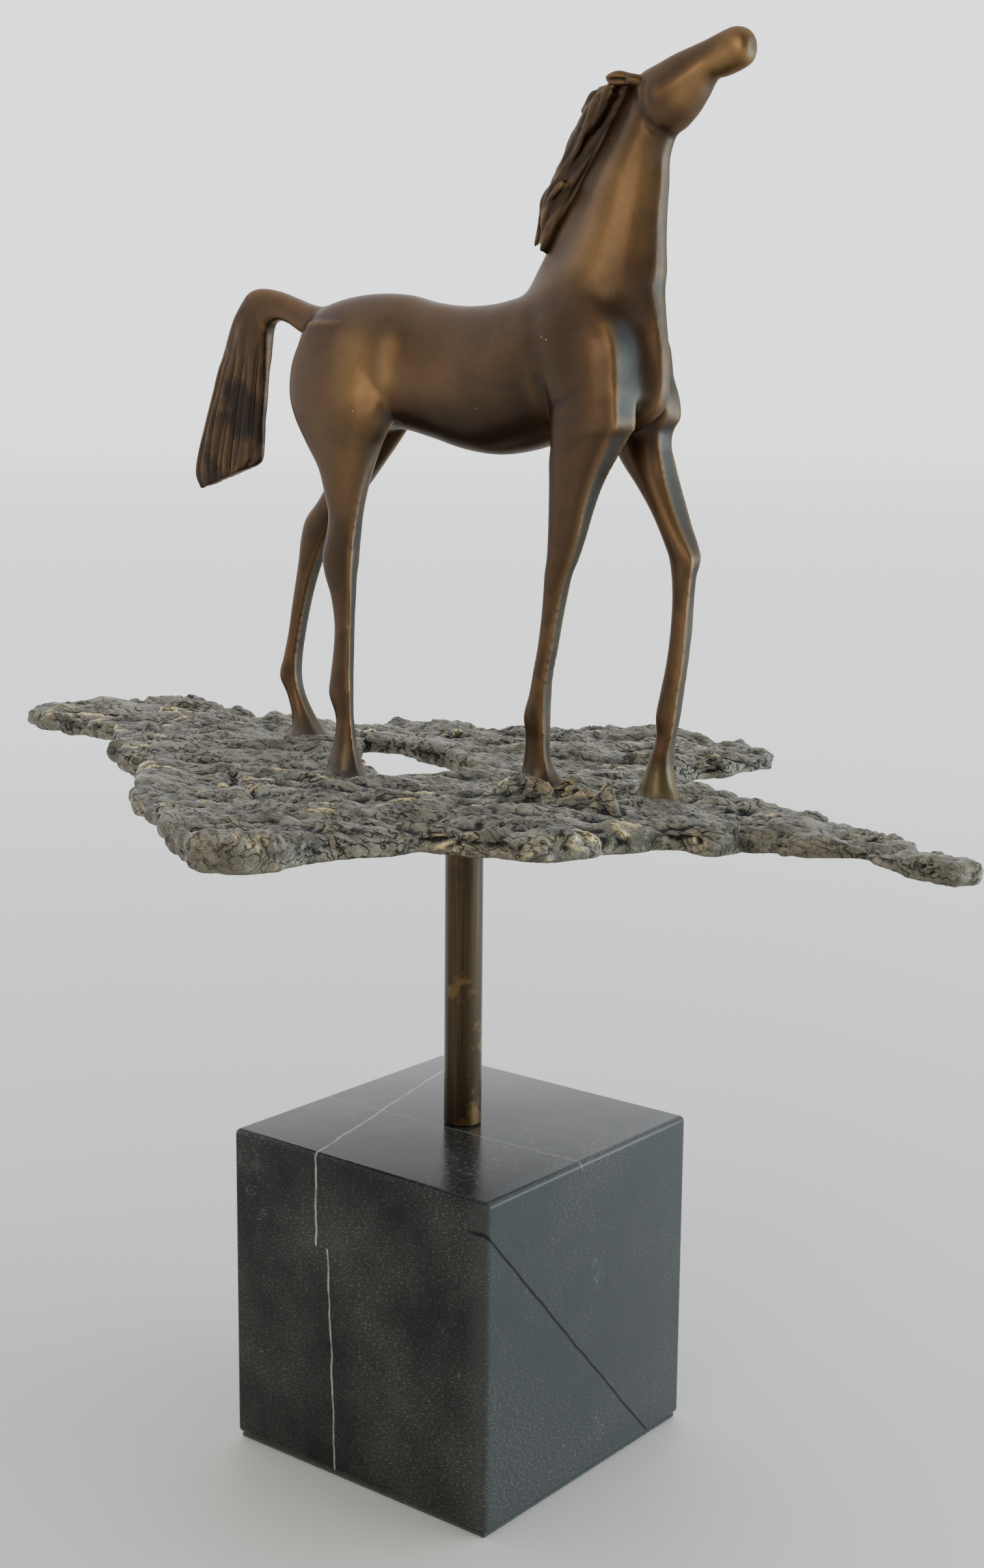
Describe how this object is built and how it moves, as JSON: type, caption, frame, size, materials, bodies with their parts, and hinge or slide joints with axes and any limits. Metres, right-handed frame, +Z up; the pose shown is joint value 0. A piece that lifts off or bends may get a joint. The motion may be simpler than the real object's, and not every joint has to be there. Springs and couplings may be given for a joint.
{
  "type": "horse statuette",
  "caption": "Standing bronze horse with a raised head on a rough bronze slab, held by a tube post on a polished stone block.",
  "frame": {"origin": "middle of the underside of the base felt, where the statue rests", "axes": "+Z up; +X the way the horse faces, along a side of the stone block; +Y the horse's left"},
  "size_m": [0.465, 0.288, 0.5019],
  "materials": {
    "bronze_body": "satin brown patina, rubbed to gold on the high edges",
    "bronze_hair": "dark grooved patina, rubbed ridges",
    "bronze_slab": "rough bark texture, grey brown patina, brassy ridges",
    "bronze_post": "satin brown patina with rubbed streaks",
    "bronze_pin": "bare, machined",
    "steel": "zinc plated",
    "stone": "polished, fine speckle with a few pale veins",
    "felt": "pressed wool felt"
  },
  "bodies": {
    "root": {"torso": "bronze_body", "neck": "bronze_body", "head": "bronze_body", "ear_right": "bronze_body", "ear_left": "bronze_body", "leg_fore_right": "bronze_body", "leg_fore_left": "bronze_body", "leg_hind_right": "bronze_body", "leg_hind_left": "bronze_body", "tail_dock": "bronze_body", "tail_switch": "bronze_hair", "mane": "bronze_hair", "terrain_slab": "bronze_slab", "hoof_pin_fore_right": "bronze_pin", "hoof_pin_fore_left": "bronze_pin", "hoof_pin_hind_right": "bronze_pin", "hoof_pin_hind_left": "bronze_pin", "support_post": "bronze_post", "post_boss": "bronze_post", "tie_rod": "steel", "rod_nut": "steel", "rod_washer": "steel", "marble_base": "stone", "base_felt": "felt"}
  },
  "joints": []
}
